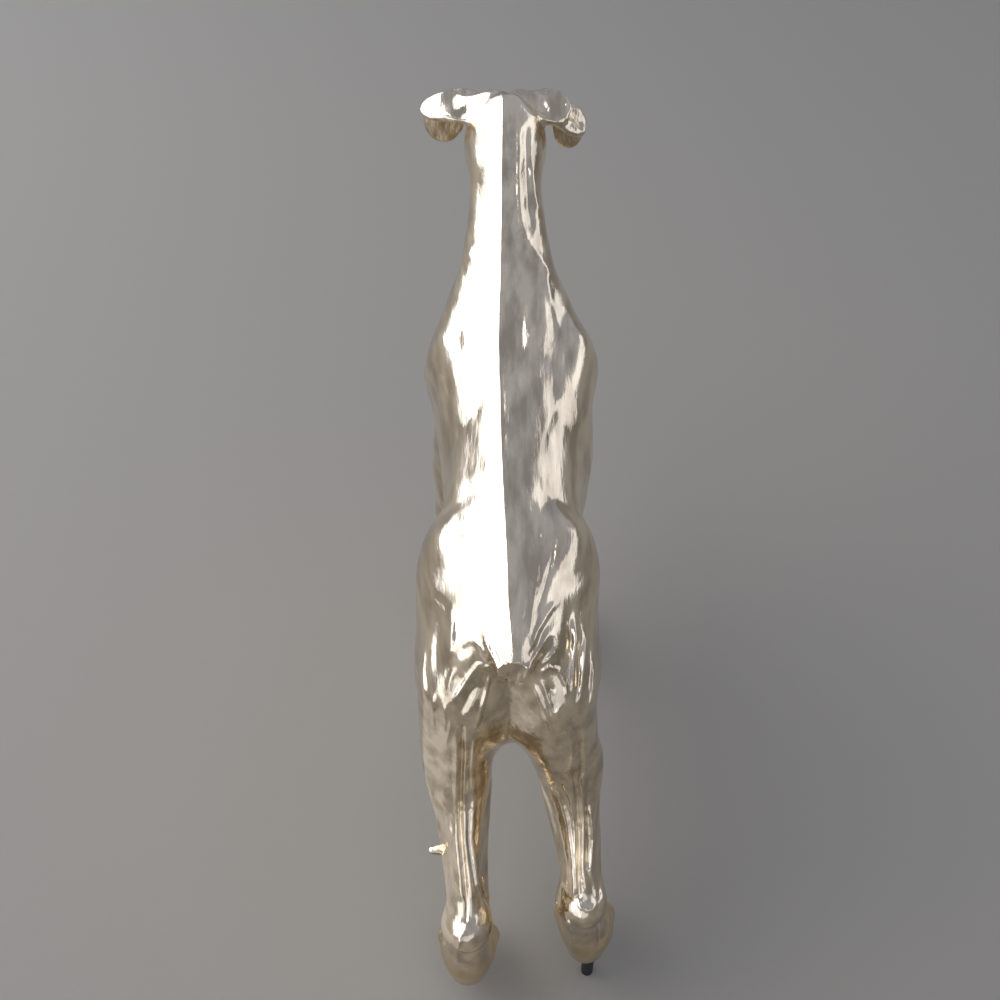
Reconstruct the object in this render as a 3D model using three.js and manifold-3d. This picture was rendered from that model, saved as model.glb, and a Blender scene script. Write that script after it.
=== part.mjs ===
// Standing bronze dog, cast in one piece, on four steel mounting studs.
// Millimetres, +Z up, the dog faces +Y, its right side is at +X.
import * as THREE from "three";
import { mergeVertices } from "three/addons/utils/BufferGeometryUtils.js";
import Module from "manifold-3d";

// Driving sizes
const WITHERS = 570; // top of the shoulders above the soles
const STUD_DIAMETER = 14;
const STUD_SHOWN = 45; // sole to floor
const STUD_SUNK = 34; // part of a stud inside its paw
const CLEARANCE = 0.3; // round a stud and over its end
const GRID = 6; // spacing at which the cast skin is sampled
const FINE_GRID = 3.8; // the same for paws, ears and head
const TRIANGLES = 9000; // facets of the cast skin

// Every place and radius of the dog below is a share of WITHERS, with the soles at zero height.

// Ellipsoid, turned by tilt about X (front end up) and by roll about Y (outer end down)
function lump(centre, radii, tilt = 0, roll = 0) {
  const [cx, cy, cz] = centre;
  const [rx, ry, rz] = radii;
  const ct = Math.cos((tilt * Math.PI) / 180);
  const st = Math.sin((tilt * Math.PI) / 180);
  const cr = Math.cos((roll * Math.PI) / 180);
  const sr = Math.sin((roll * Math.PI) / 180);
  return (x, y, z) => {
    const dy = (y - cy) * ct + (z - cz) * st;
    const dz = (z - cz) * ct - (y - cy) * st;
    const px = ((x - cx) * cr - dz * sr) / rx;
    const pz = (dz * cr + (x - cx) * sr) / rz;
    const py = dy / ry;
    const k0 = Math.hypot(px, py, pz);
    const k1 = Math.hypot(px / rx, py / ry, pz / rz);
    return k1 < 1e-9 ? -Math.min(rx, ry, rz) : (k0 * (k0 - 1)) / k1;
  };
}

// Elliptic leaf of even thickness with a round rim, turned as a lump is
function leaf(centre, [rx, ry], thickness, tilt, roll) {
  const flat = lump([0, 0, 0], [rx, ry, 1e3]);
  const [ct, st] = [Math.cos((tilt * Math.PI) / 180), Math.sin((tilt * Math.PI) / 180)];
  const [cr, sr] = [Math.cos((roll * Math.PI) / 180), Math.sin((roll * Math.PI) / 180)];
  return (x, y, z) => {
    const [dx, dy, dz] = [x - centre[0], y - centre[1], z - centre[2]];
    const up = dz * ct - dy * st;
    const rim = flat(dx * cr - up * sr, dy * ct + dz * st, 0);
    return Math.hypot(Math.max(rim, 0), up * cr + dx * sr) - thickness / 2;
  };
}

// Tapered round limb from a to b, its width across X multiplied by wide
function limb(a, b, ra, rb, wide = 1) {
  const [ax, ay, az] = [a[0] / wide, a[1], a[2]];
  const [bx, by, bz] = [b[0] / wide - ax, b[1] - ay, b[2] - az];
  const l2 = bx * bx + by * by + bz * bz;
  const rr = ra - rb;
  const a2 = l2 - rr * rr;
  const scale = Math.min(1, wide);
  return (x, y, z) => {
    const px = x / wide - ax;
    const py = y - ay;
    const pz = z - az;
    const along = px * bx + py * by + pz * bz;
    const over = along - l2;
    const q2 = (px * l2 - bx * along) ** 2 + (py * l2 - by * along) ** 2 + (pz * l2 - bz * along) ** 2;
    const y2 = along * along * l2;
    const z2 = over * over * l2;
    const k = Math.sign(rr) * rr * rr * q2;
    let d;
    if (Math.sign(over) * a2 * z2 > k) d = Math.sqrt(q2 + z2) / l2 - rb;
    else if (Math.sign(along) * a2 * y2 < k) d = Math.sqrt(q2 + y2) / l2 - ra;
    else d = (Math.sqrt((q2 * a2) / l2) + along * rr) / l2 - ra;
    return d * scale;
  };
}

// Limb through several stations [x, y, z, radius]
function chain(stations, wide = 1) {
  const parts = stations.slice(1).map((s, i) => limb(stations[i], s, stations[i][3], s[3], wide));
  return (x, y, z) => {
    let d = 1;
    for (const part of parts) d = Math.min(d, part(x, y, z));
    return d;
  };
}

function meet(a, b, k) {
  const h = Math.max(k - Math.abs(a - b), 0) / k;
  return Math.min(a, b) - (h * h * k) / 4;
}

// Shapes run together over the width k; well outside the box low to high only the way to it counts
function blended(shapes, k, low, high) {
  return (x, y, z) => {
    const gap = Math.hypot(
      Math.max(low[0] - x, x - high[0], 0),
      Math.max(low[1] - y, y - high[1], 0),
      Math.max(low[2] - z, z - high[2], 0),
    );
    if (gap > 0.06) return gap;
    let d = 1;
    for (const shape of shapes) d = meet(d, shape(x, y, z), k);
    return d;
  };
}

// Trunk and neck: one half is described and mirrored
const trunk = blended(
  [
    lump([0, 0.105, 0.725], [0.147, 0.29, 0.232], -4), // rib cage
    lump([0, 0.2, 0.57], [0.085, 0.17, 0.12]), // brisket
    lump([0, 0.35, 0.68], [0.09, 0.08, 0.12]), // forechest
    lump([0, -0.12, 0.815], [0.122, 0.22, 0.122]), // loin
    lump([0, -0.2, 0.745], [0.112, 0.15, 0.095]), // flank
    lump([0, -0.29, 0.805], [0.13, 0.175, 0.124], -10), // croup
    lump([0.062, -0.425, 0.71], [0.052, 0.062, 0.14], -6), // seat
    lump([0, -0.4, 0.69], [0.06, 0.06, 0.14], -6), // under the tail
    lump([0.095, -0.25, 0.78], [0.066, 0.11, 0.115], 10), // front of the hip
    lump([0.105, 0.27, 0.79], [0.068, 0.09, 0.19], 27), // shoulder blade
    lump([0.076, 0.15, 0.8], [0.064, 0.13, 0.13]), // behind the shoulder blade
    lump([0.075, 0.315, 0.86], [0.055, 0.1, 0.1], 30), // root of the neck
    lump([0.035, 0.235, 0.96], [0.034, 0.08, 0.034]), // withers
    lump([0.075, -0.265, 0.893], [0.035, 0.05, 0.028], -10), // point of the hip
    chain([
      [0, 0.27, 0.95, 0.044],
      [0, 0.03, 0.914, 0.04],
      [0, -0.2, 0.91, 0.038],
      [0, -0.42, 0.852, 0.034],
    ]), // backbone
    chain(
      [
        [0, 0.27, 0.83, 0.15],
        [0, 0.37, 0.94, 0.114],
        [0, 0.47, 1.045, 0.086],
        [0, 0.57, 1.145, 0.078],
      ],
      0.87,
    ), // neck
  ],
  0.045,
  [0, -0.5, 0.44],
  [0.17, 0.65, 1.22],
);

// Head, in its own frame: x across, a forward along the muzzle, b up, from the poll
const POLL = [0.6, 1.215];
const HEAD_PITCH = (33 * Math.PI) / 180;
const skull = blended(
  [
    lump([0, 0.065, -0.06], [0.072, 0.105, 0.072]),
    lump([0, -0.012, -0.02], [0.03, 0.03, 0.028]), // occiput
    lump([0.047, 0.08, -0.088], [0.037, 0.075, 0.06]), // cheek
    lump([0.034, 0.15, -0.022], [0.024, 0.03, 0.02]), // brow
    lump([0, 0.01, -0.115], [0.058, 0.075, 0.055]), // throat
    limb([0, 0.14, -0.068], [0, 0.315, -0.076], 0.06, 0.043, 0.82), // muzzle
    limb([0, 0.09, -0.13], [0, 0.3, -0.12], 0.042, 0.022), // jaw
    lump([0.022, 0.25, -0.108], [0.02, 0.07, 0.024]), // lip
    lump([0, 0.355, -0.058], [0.023, 0.018, 0.02]), // nose
    lump([0.055, 0.152, -0.05], [0.012, 0.017, 0.013]), // eye
  ],
  0.022,
  [0, -0.08, -0.19],
  [0.1, 0.38, 0.02],
);
function head(x, y, z) {
  const dy = y - POLL[0];
  const dz = z - POLL[1];
  const a = dy * Math.cos(HEAD_PITCH) - dz * Math.sin(HEAD_PITCH);
  const b = dy * Math.sin(HEAD_PITCH) + dz * Math.cos(HEAD_PITCH);
  return skull(x, a, b);
}

// Ears stand out sideways and fold over their front edge. The right one droops more.
const EAR = 0.014; // thickness
const ears = blended(
  [
    limb([-0.03, 0.635, 1.192], [-0.08, 0.635, 1.188], 0.026, 0.013),
    leaf([-0.088, 0.636, 1.186], [0.045, 0.036], EAR, 16, 0),
    leaf([-0.124, 0.634, 1.182], [0.04, 0.024], EAR, 18, -8),
    leaf([-0.126, 0.658, 1.142], [0.034, 0.05], EAR, 98, 0),
    limb([0.03, 0.635, 1.192], [0.08, 0.635, 1.188], 0.026, 0.013),
    leaf([0.084, 0.634, 1.186], [0.042, 0.037], EAR, 16, 6),
    leaf([0.122, 0.636, 1.16], [0.048, 0.032], EAR, 16, 44),
    leaf([0.13, 0.664, 1.122], [0.026, 0.046], EAR, 96, 0),
  ],
  0.016,
  [-0.18, 0.58, 1.06],
  [0.18, 0.7, 1.23],
);

// Tail stub, cut off square
const tailRod = limb([0, -0.4, 0.866], [0.014, -0.53, 0.84], 0.034, 0.023);
const TAIL_CUT = -0.498;
function tail(x, y, z) {
  return Math.max(tailRod(x, y, z), TAIL_CUT - y);
}

// Four toes forward of a heel pad at (x, y); splay is the half width over the toes
function paw(x, y, splay) {
  const toes = [-1, -0.36, 0.36, 1].map((t) => {
    const reach = 0.095 - 0.042 * t * t;
    return limb(
      [x + t * splay * 0.6, y + 0.02, 0.05],
      [x + t * splay, y + reach, 0.021],
      0.024,
      0.0185,
    );
  });
  const heel = limb([x, y - 0.002, 0], [x, y - 0.002, 0.06], 0.038, 0.038);
  return [lump([x, y + 0.02, 0.034], [splay, 0.05, 0.04]), heel, ...toes];
}

// Hind leg: hip, inner thigh, calf, hock and paw stand out sideways by these shares, and back by set
function hindLeg(side, [hip, inner, calf, hock, foot], set) {
  const [h, n, c, k, p] = [hip, inner, calf, hock, foot].map((v) => side * v);
  return [
    lump([n, -0.395, 0.575], [0.05, 0.06, 0.115], 8), // inside of the thigh
    lump([c, -0.345, 0.475], [0.052, 0.09, 0.07], 20), // hollow of the knee
    lump([h, -0.32, 0.63], [0.07, 0.135, 0.2], 24), // thigh
    chain([
      [h * 0.85, -0.43, 0.71, 0.066],
      [h * 0.92, -0.435, 0.58, 0.066],
      [c, -0.435 + set / 4, 0.47, 0.062],
      [(c + k) / 2, -0.48 + set / 2, 0.385, 0.036],
      [k, -0.612 + set, 0.26, 0.021],
    ]), // back of the thigh, running out as the heel tendon
    chain([
      [h, -0.25, 0.49, 0.06],
      [c, -0.385 + set / 3, 0.4, 0.062],
      [(c + k) / 2, -0.465 + set / 2, 0.335, 0.049],
      [k, -0.54 + set, 0.275, 0.04],
      [k, -0.592 + set, 0.235, 0.042],
    ]), // lower thigh
    lump([k, -0.62 + set, 0.245], [0.028, 0.026, 0.032]), // point of the hock
    chain(
      [
        [k, -0.592 + set, 0.235, 0.04],
        [(k + p) / 2, -0.59 + set, 0.13, 0.037],
        [p, -0.578 + set, 0.06, 0.041],
      ],
      1.12,
    ), // cannon
    ...paw(p, -0.575 + set, 0.044),
  ];
}

// Fore leg, straight under the shoulder
function foreLeg(side, out, ahead) {
  const s = side * out;
  const w = side * (out - 0.01);
  return [
    limb([s, 0.345, 0.67], [s, 0.2, 0.54], 0.062, 0.05, 0.85), // upper arm
    lump([s, 0.195, 0.62], [0.052, 0.085, 0.13], -16), // triceps
    lump([s, 0.14, 0.49], [0.022, 0.026, 0.032]), // elbow
    chain([
      [s, 0.18, 0.49, 0.05],
      [w, 0.192 + ahead / 2, 0.32, 0.034],
      [w, 0.195 + ahead, 0.205, 0.033],
      [w, 0.205 + ahead, 0.06, 0.034],
    ]),
    ...paw(w, 0.21 + ahead, 0.042),
  ];
}

const legs = [
  blended(hindLeg(-1, [0.096, 0.036, 0.088, 0.073, 0.075], -0.045), 0.022, [-0.19, -0.7, 0], [0.02, -0.16, 0.86]),
  blended(hindLeg(1, [0.102, 0.062, 0.118, 0.142, 0.163], 0), 0.022, [0, -0.66, 0], [0.23, -0.16, 0.86]),
  blended(foreLeg(-1, 0.1, -0.02), 0.024, [-0.17, 0.08, 0], [-0.02, 0.43, 0.77]),
  blended(foreLeg(1, 0.118, 0.02), 0.024, [0.04, 0.08, 0], [0.19, 0.43, 0.77]),
];
const LUG = limb([-0.1, -0.53, 0.31], [-0.139, -0.53, 0.315], 0.009, 0.007); // casting lug on the left shin

// Signed depth of a point below the cast skin, negative inside
function skin(x, y, z) {
  const half = Math.hypot(x, 0.006);
  const chest = Math.hypot(x - 0.02 * Math.exp(-(((y - 0.08) / 0.24) ** 2)), 0.006);
  let d = meet(trunk(chest, y, z), head(half, y, z), 0.035);
  d = meet(d, tail(x, y, z), 0.026);
  d = meet(d, ears(x, y, z), 0.02);
  for (const leg of legs) d = meet(d, leg(x, y, z), 0.035);
  d = meet(d, LUG(x, y, z), 0.006);
  return Math.max(d, -z); // flat soles
}

// Grid lines across one axis, closer together where fine says so
function lines(low, high, fine) {
  const at = [low];
  while (at[at.length - 1] < high) {
    const last = at[at.length - 1];
    at.push(last + (fine(last) ? FINE_GRID : GRID) / WITHERS);
  }
  return at;
}
const LINES = [
  lines(-0.24, 0.25, () => true),
  lines(-0.74, 1.0, (y) => (y > 0.57 && y < 0.71) || (y > -0.52 && y < -0.45)),
  lines(-0.03, 1.33, (z) => z < 0.08 || z > 1.05 || (z > 0.8 && z < 0.89)),
];
const [NX, NY, NZ] = LINES.map((at) => at.length);

// Depth at every grid point; blocks far from the skin take the depth of their middle
function sampled() {
  const depth = new Float64Array(NX * NY * NZ);
  const BLOCK = 6;
  const far = (1.6 * BLOCK * GRID) / WITHERS;
  const at = (i, j, k) => skin(LINES[0][i], LINES[1][j], LINES[2][k]);
  const least = (0.02 * FINE_GRID) / WITHERS;
  const starts = (count) => Array.from({ length: Math.ceil(count / BLOCK) }, (_, n) => n * BLOCK);
  for (const k0 of starts(NZ))
    for (const j0 of starts(NY))
      for (const i0 of starts(NX)) {
        const [i1, j1, k1] = [Math.min(i0 + BLOCK, NX), Math.min(j0 + BLOCK, NY), Math.min(k0 + BLOCK, NZ)];
        const middle = at((i0 + i1) >> 1, (j0 + j1) >> 1, (k0 + k1) >> 1);
        for (let k = k0; k < k1; k++)
          for (let j = j0; j < j1; j++)
            for (let i = i0; i < i1; i++) {
              const d = Math.abs(middle) > far ? middle : at(i, j, k);
              depth[i + NX * (j + NY * k)] = Math.sign(d || 1) * Math.max(Math.abs(d), least);
            }
      }
  return depth;
}

// Share of the way from one grid point to the next where the skin is crossed
function crossing(place, dLow, dHigh) {
  let [t0, d0, t1, d1] = [0, dLow, 1, dHigh];
  for (let i = 0; i < 2; i++) {
    const t = t0 + ((t1 - t0) * d0) / (d0 - d1);
    const d = skin(...place(t));
    if (d < 0 === d0 < 0) [t0, d0] = [t, d];
    else [t1, d1] = [t, d];
    if (Math.abs(d) < 1e-5 || d0 === d1) return t;
  }
  return Math.min(0.98, Math.max(0.02, t0 + ((t1 - t0) * d0) / (d0 - d1)));
}

// Skin as a closed net of triangles: each grid cube is six tetrahedra about its diagonal
const TETRAHEDRA = [
  [0, 1, 3, 7],
  [0, 3, 2, 7],
  [0, 2, 6, 7],
  [0, 6, 4, 7],
  [0, 4, 5, 7],
  [0, 5, 1, 7],
];
function polygonised() {
  const depth = sampled();
  const points = [];
  const faces = [];
  const made = new Map();
  const corner = (i, j, k, c) => i + (c & 1) + NX * (j + ((c >> 1) & 1) + NY * (k + (c >> 2)));
  for (let k = 0; k < NZ - 1; k++)
    for (let j = 0; j < NY - 1; j++)
      for (let i = 0; i < NX - 1; i++) {
        const ids = [0, 1, 2, 3, 4, 5, 6, 7].map((c) => corner(i, j, k, c));
        const inside = ids.map((id) => depth[id] < 0);
        if (inside.every((s) => s === inside[0])) continue;
        // The crossing on the edge between corners p and q of this cube
        const cut = (p, q) => {
          const [lo, hi] = p < q ? [p, q] : [q, p];
          const key = ids[lo] * 8 + (hi - lo);
          if (!made.has(key)) {
            const place = (t) =>
              [i, j, k].map((v, axis) => {
                const from = LINES[axis][v + ((lo >> axis) & 1)];
                return from + t * (LINES[axis][v + ((hi >> axis) & 1)] - from);
              });
            made.set(key, points.length);
            points.push(place(crossing(place, depth[ids[lo]], depth[ids[hi]])));
          }
          return made.get(key);
        };
        for (const [a, b, c, d] of TETRAHEDRA) {
          const sides = [a, b, c, d].map((v) => inside[v]);
          const count = sides.filter(Boolean).length;
          if (count === 0 || count === 4) continue;
          if (count === 2) {
            const pairs = [
              [a, b, c, d],
              [a, c, d, b],
              [a, d, b, c],
              [b, c, a, d],
              [b, d, c, a],
              [c, d, a, b],
            ];
            const [p, q, r, s] = pairs.find((o) => inside[o[0]] && inside[o[1]]);
            faces.push([cut(p, r), cut(p, s), cut(q, s)], [cut(p, r), cut(q, s), cut(q, r)]);
          } else {
            const odd = [
              [a, b, c, d],
              [b, a, d, c],
              [c, a, b, d],
              [d, a, c, b],
            ].find((o) => inside[o[0]] === (count === 1));
            const [p, q, r, s] = odd;
            faces.push(count === 1 ? [cut(p, q), cut(p, r), cut(p, s)] : [cut(p, q), cut(p, s), cut(p, r)]);
          }
        }
      }
  return { points, faces };
}

// Heap of edges, the cheapest to give up first
class Heap {
  items = [];
  push(item) {
    const a = this.items;
    let i = a.push(item) - 1;
    while (i > 0) {
      const up = (i - 1) >> 1;
      if (a[up].cost <= item.cost) break;
      a[i] = a[up];
      i = up;
    }
    a[i] = item;
  }
  pop() {
    const a = this.items;
    const top = a[0];
    const last = a.pop();
    if (!a.length) return top;
    let i = 0;
    for (;;) {
      let child = 2 * i + 1;
      if (child >= a.length) break;
      if (child + 1 < a.length && a[child + 1].cost < a[child].cost) child++;
      if (a[child].cost >= last.cost) break;
      a[i] = a[child];
      i = child;
    }
    a[i] = last;
    return top;
  }
}

// Small forms are worth more than broad ones: paws, head and ears, tail
function worth(y, z) {
  if (z < 0.12) return 5;
  if (z > 1.0 && y > 0.5) return 4;
  return y < -0.4 && z > 0.78 ? 3 : 1;
}

// Fewer facets: edges are drawn together in order of how little the skin moves
function thinned({ points, faces }, wanted) {
  const at = Float64Array.from(points.flat());
  const corners = Int32Array.from(faces.flat());
  const sheets = new Float64Array(10 * points.length);
  const outward = new Float64Array(3 * points.length); // mean normal of the skin round each vertex
  const around = points.map(() => []);
  const version = new Int32Array(points.length);
  const live = new Uint8Array(faces.length).fill(1);
  let count = faces.length;
  const normal = new Float64Array(3);
  // Normal of face f, its length twice the area, with vertex v moved to the place (x, y, z)
  const faceNormal = (f, v, x, y, z) => {
    const p = [0, 0, 0, 0, 0, 0, 0, 0, 0];
    for (let i = 0; i < 3; i++) {
      const u = corners[3 * f + i];
      p[3 * i] = u === v ? x : at[3 * u];
      p[3 * i + 1] = u === v ? y : at[3 * u + 1];
      p[3 * i + 2] = u === v ? z : at[3 * u + 2];
    }
    const [ax, ay, az] = [p[3] - p[0], p[4] - p[1], p[5] - p[2]];
    const [bx, by, bz] = [p[6] - p[0], p[7] - p[1], p[8] - p[2]];
    normal[0] = ay * bz - az * by;
    normal[1] = az * bx - ax * bz;
    normal[2] = ax * by - ay * bx;
    const c2 = (bx - ax) ** 2 + (by - ay) ** 2 + (bz - az) ** 2;
    return Math.max(ax * ax + ay * ay + az * az, bx * bx + by * by + bz * bz, c2);
  };
  for (let f = 0; f < faces.length; f++) {
    faceNormal(f, -1, 0, 0, 0);
    const area = Math.hypot(...normal);
    for (let i = 0; i < 3; i++) {
      around[corners[3 * f + i]].push(f);
      for (let t = 0; t < 3; t++) outward[3 * corners[3 * f + i] + t] += normal[t];
    }
    if (area < 1e-14) continue;
    const [x, y, z] = normal.map((v) => v / area);
    const u = corners[3 * f];
    const w = -(x * at[3 * u] + y * at[3 * u + 1] + z * at[3 * u + 2]);
    const weight = area * worth(at[3 * u + 1], at[3 * u + 2]);
    const terms = [x * x, x * y, x * z, x * w, y * y, y * z, y * w, z * z, z * w, w * w];
    for (let i = 0; i < 3; i++)
      for (let t = 0; t < 10; t++) sheets[10 * corners[3 * f + i] + t] += terms[t] * weight;
  }
  const q = new Float64Array(10);
  const place = new Float64Array(3);
  // Puts the best place for the vertex that replaces a and b in place, and returns its cost
  const joined = (a, b) => {
    for (let t = 0; t < 10; t++) q[t] = sheets[10 * a + t] + sheets[10 * b + t];
    const hold = 1e-3 * (q[0] + q[4] + q[7]) + 1e-16;
    const [mx, my, mz] = [0, 1, 2].map((i) => (at[3 * a + i] + at[3 * b + i]) / 2);
    const [xx, xy, xz, yy, yz, zz] = [q[0] + hold, q[1], q[2], q[4] + hold, q[5], q[7] + hold];
    const [rx, ry, rz] = [hold * mx - q[3], hold * my - q[6], hold * mz - q[8]];
    const [c0, c1, c2] = [yy * zz - yz * yz, xz * yz - xy * zz, xy * yz - xz * yy];
    const det = xx * c0 + xy * c1 + xz * c2;
    const x = (rx * c0 + ry * c1 + rz * c2) / det;
    const y = (rx * c1 + ry * (xx * zz - xz * xz) + rz * (xy * xz - xx * yz)) / det;
    const z = (rx * c2 + ry * (xy * xz - xx * yz) + rz * (xx * yy - xy * xy)) / det;
    place[0] = x;
    place[1] = y;
    place[2] = z;
    const moved =
      q[0] * x * x + 2 * q[1] * x * y + 2 * q[2] * x * z + 2 * q[3] * x + q[4] * y * y +
      2 * q[5] * y * z + 2 * q[6] * y + q[7] * z * z + 2 * q[8] * z + q[9];
    let long = 0;
    for (let i = 0; i < 3; i++) long += (at[3 * a + i] - at[3 * b + i]) ** 2;
    return Math.max(0, moved) + 1e-9 * long;
  };
  const heap = new Heap();
  const offer = (a, b) => heap.push({ a, b, va: version[a], vb: version[b], cost: joined(a, b) });
  const near = (v) => {
    const found = new Set();
    for (const f of around[v]) for (let i = 0; i < 3; i++) found.add(corners[3 * f + i]);
    found.delete(v);
    return found;
  };
  for (let f = 0; f < faces.length; f++)
    for (let i = 0; i < 3; i++) {
      const [a, b] = [corners[3 * f + i], corners[3 * f + ((i + 1) % 3)]];
      if (a < b) offer(a, b);
    }
  // Whether face f folds over, or becomes a sliver, when v moves to the place, where the skin faces out
  const spoilt = (f, v, [x, y, z], out) => {
    faceNormal(f, -1, 0, 0, 0);
    const [ux, uy, uz] = normal;
    const before = Math.hypot(ux, uy, uz);
    const long = faceNormal(f, v, x, y, z);
    const after = Math.hypot(...normal);
    if (after < 0.06 * long && after < before) return true;
    const facing = out[0] * normal[0] + out[1] * normal[1] + out[2] * normal[2];
    if (facing < 0.25 * after * Math.hypot(...out)) return true;
    return before > 1e-12 && ux * normal[0] + uy * normal[1] + uz * normal[2] < 0.55 * before * after;
  };
  while (count > wanted && heap.items.length) {
    const { a, b, va, vb } = heap.pop();
    if (version[a] !== va || version[b] !== vb) continue;
    const common = near(b);
    let shared = 0;
    for (const v of near(a)) if (common.has(v)) shared++;
    if (shared !== 2) continue;
    joined(a, b);
    const to = [...place];
    const out = [0, 1, 2].map((i) => outward[3 * a + i] + outward[3 * b + i]);
    const gone = around[a].filter((f) => around[b].includes(f));
    const stays = (f) => !gone.includes(f);
    if (around[a].some((f) => stays(f) && spoilt(f, a, to, out))) continue;
    if (around[b].some((f) => stays(f) && spoilt(f, b, to, out))) continue;
    for (const f of gone) {
      live[f] = 0;
      count--;
      for (let i = 0; i < 3; i++) {
        const v = corners[3 * f + i];
        around[v] = around[v].filter((g) => g !== f);
      }
    }
    for (const f of around[b]) {
      for (let i = 0; i < 3; i++) if (corners[3 * f + i] === b) corners[3 * f + i] = a;
      around[a].push(f);
    }
    around[b] = [];
    for (let i = 0; i < 3; i++) {
      at[3 * a + i] = to[i];
      outward[3 * a + i] = out[i];
    }
    for (let t = 0; t < 10; t++) sheets[10 * a + t] += sheets[10 * b + t];
    version[a]++;
    version[b] = -1;
    for (const v of near(a)) offer(a, v);
  }
  const kept = faces.map((f, id) => [...corners.subarray(3 * id, 3 * id + 3)]).filter((f, id) => live[id]);
  return { points: points.map((p, v) => [...at.subarray(3 * v, 3 * v + 3)]), faces: kept };
}

const wasm = await Module();
wasm.setup();

function solidOf(geometry) {
  const bare = geometry.clone();
  bare.deleteAttribute("normal");
  bare.deleteAttribute("uv");
  const merged = mergeVertices(bare, 1e-4);
  return new wasm.Manifold(
    new wasm.Mesh({
      numProp: 3,
      vertProperties: new Float32Array(merged.attributes.position.array),
      triVerts: new Uint32Array(merged.index.array),
    }),
  );
}

function geometryOf(solid) {
  const mesh = solid.getMesh();
  const geometry = new THREE.BufferGeometry();
  geometry.setAttribute("position", new THREE.BufferAttribute(new Float32Array(mesh.vertProperties), 3));
  geometry.setIndex(new THREE.BufferAttribute(new Uint32Array(mesh.triVerts), 1));
  geometry.computeVertexNormals();
  return geometry;
}

function rod(diameter, bottom, top, x, y) {
  const geometry = new THREE.CylinderGeometry(diameter / 2, diameter / 2, top - bottom, 24);
  geometry.rotateX(Math.PI / 2);
  geometry.translate(x, y, (top + bottom) / 2);
  return geometry;
}

// The casting, raised on its studs
const net = thinned(polygonised(), TRIANGLES);
const cast = new THREE.BufferGeometry();
const placed = net.points.flatMap(([x, y, z]) => [x * WITHERS, y * WITHERS, z * WITHERS + STUD_SHOWN]);
cast.setAttribute("position", new THREE.BufferAttribute(new Float32Array(placed), 3));
cast.setIndex(net.faces.flat());

// Studs stand in the heels, the left hind one further under its paw
const STUDS = {
  stud_left_hind: [-0.075, -0.59],
  stud_right_hind: [0.169, -0.595],
  stud_left_fore: [-0.09, 0.2],
  stud_right_fore: [0.108, 0.24],
};
let body = solidOf(cast);
for (const [x, y] of Object.values(STUDS)) {
  const top = STUD_SHOWN + STUD_SUNK + CLEARANCE;
  body = body.subtract(solidOf(rod(STUD_DIAMETER + 2 * CLEARANCE, 0, top, x * WITHERS, y * WITHERS)));
}

const bronze = new THREE.MeshStandardMaterial({ color: 0xb39a6b, metalness: 1, roughness: 0.25 });
const steel = new THREE.MeshStandardMaterial({ color: 0x2b2b2d, metalness: 0.8, roughness: 0.5 });
const statue = new THREE.Group();
function add(name, geometry, material) {
  const mesh = new THREE.Mesh(geometry, material.clone());
  mesh.name = name;
  statue.add(mesh);
}
add("dog", geometryOf(body), bronze);
for (const [name, [x, y]] of Object.entries(STUDS))
  add(name, rod(STUD_DIAMETER, 0, STUD_SHOWN + STUD_SUNK, x * WITHERS, y * WITHERS), steel);

// The frame's origin is under the middle of the statue
const box = new THREE.Box3().setFromObject(statue);
statue.position.set(-(box.min.x + box.max.x) / 2, -(box.min.y + box.max.y) / 2, 0);
statue.updateMatrixWorld(true);

export default statue;
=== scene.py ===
"""Polished bronze dog on steel studs: the fine skin of the casting, its finish, floor, light and camera."""

import bpy
import numpy as np
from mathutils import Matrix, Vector


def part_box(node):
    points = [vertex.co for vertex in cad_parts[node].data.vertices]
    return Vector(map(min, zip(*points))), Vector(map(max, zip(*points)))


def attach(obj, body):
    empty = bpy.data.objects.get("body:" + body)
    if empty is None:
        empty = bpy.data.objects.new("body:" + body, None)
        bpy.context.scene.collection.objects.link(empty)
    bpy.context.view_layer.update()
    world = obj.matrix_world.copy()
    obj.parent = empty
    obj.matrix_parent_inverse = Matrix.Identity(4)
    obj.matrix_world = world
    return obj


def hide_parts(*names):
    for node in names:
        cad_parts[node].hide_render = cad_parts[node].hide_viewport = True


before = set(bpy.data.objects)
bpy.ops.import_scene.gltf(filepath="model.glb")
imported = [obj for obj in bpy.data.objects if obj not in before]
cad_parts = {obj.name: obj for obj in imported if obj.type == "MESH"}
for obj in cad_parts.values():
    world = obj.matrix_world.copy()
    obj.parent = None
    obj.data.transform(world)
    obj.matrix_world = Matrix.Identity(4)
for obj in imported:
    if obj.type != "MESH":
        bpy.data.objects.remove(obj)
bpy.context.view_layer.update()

# Driving sizes, in metres. Places and radii on the dog are shares of WITHERS, its height above the soles.
WITHERS = 0.57
STUD_BORE = 0.0146
STUD_SUNK = 0.034
CLEARANCE = 0.0003
STUDS = {
    "stud_left_hind": (-0.075, -0.59),
    "stud_right_hind": (0.169, -0.595),
    "stud_left_fore": (-0.09, 0.2),
    "stud_right_fore": (0.108, 0.24),
}

# The photograph's camera, in the dog's shares, looking ahead and down; the image is 1000 pixels across
CAMERA = (-0.011, -1.702, 2.564)
CAMERA_DOWN = 47.4
FOCAL_PIXELS = 1300
IMAGE = 1000
SENSOR = 36


def field_origin():
    """Where the dog's own origin, on the level of its soles, lies in the frame."""
    low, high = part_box("stud_right_hind")
    x, y = STUDS["stud_right_hind"]
    middle_x, middle_y = (low.x + high.x) / 2, (low.y + high.y) / 2
    return np.array([middle_x - x * WITHERS, middle_y - y * WITHERS, high.z - STUD_SUNK])


ORIGIN = field_origin()


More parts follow.
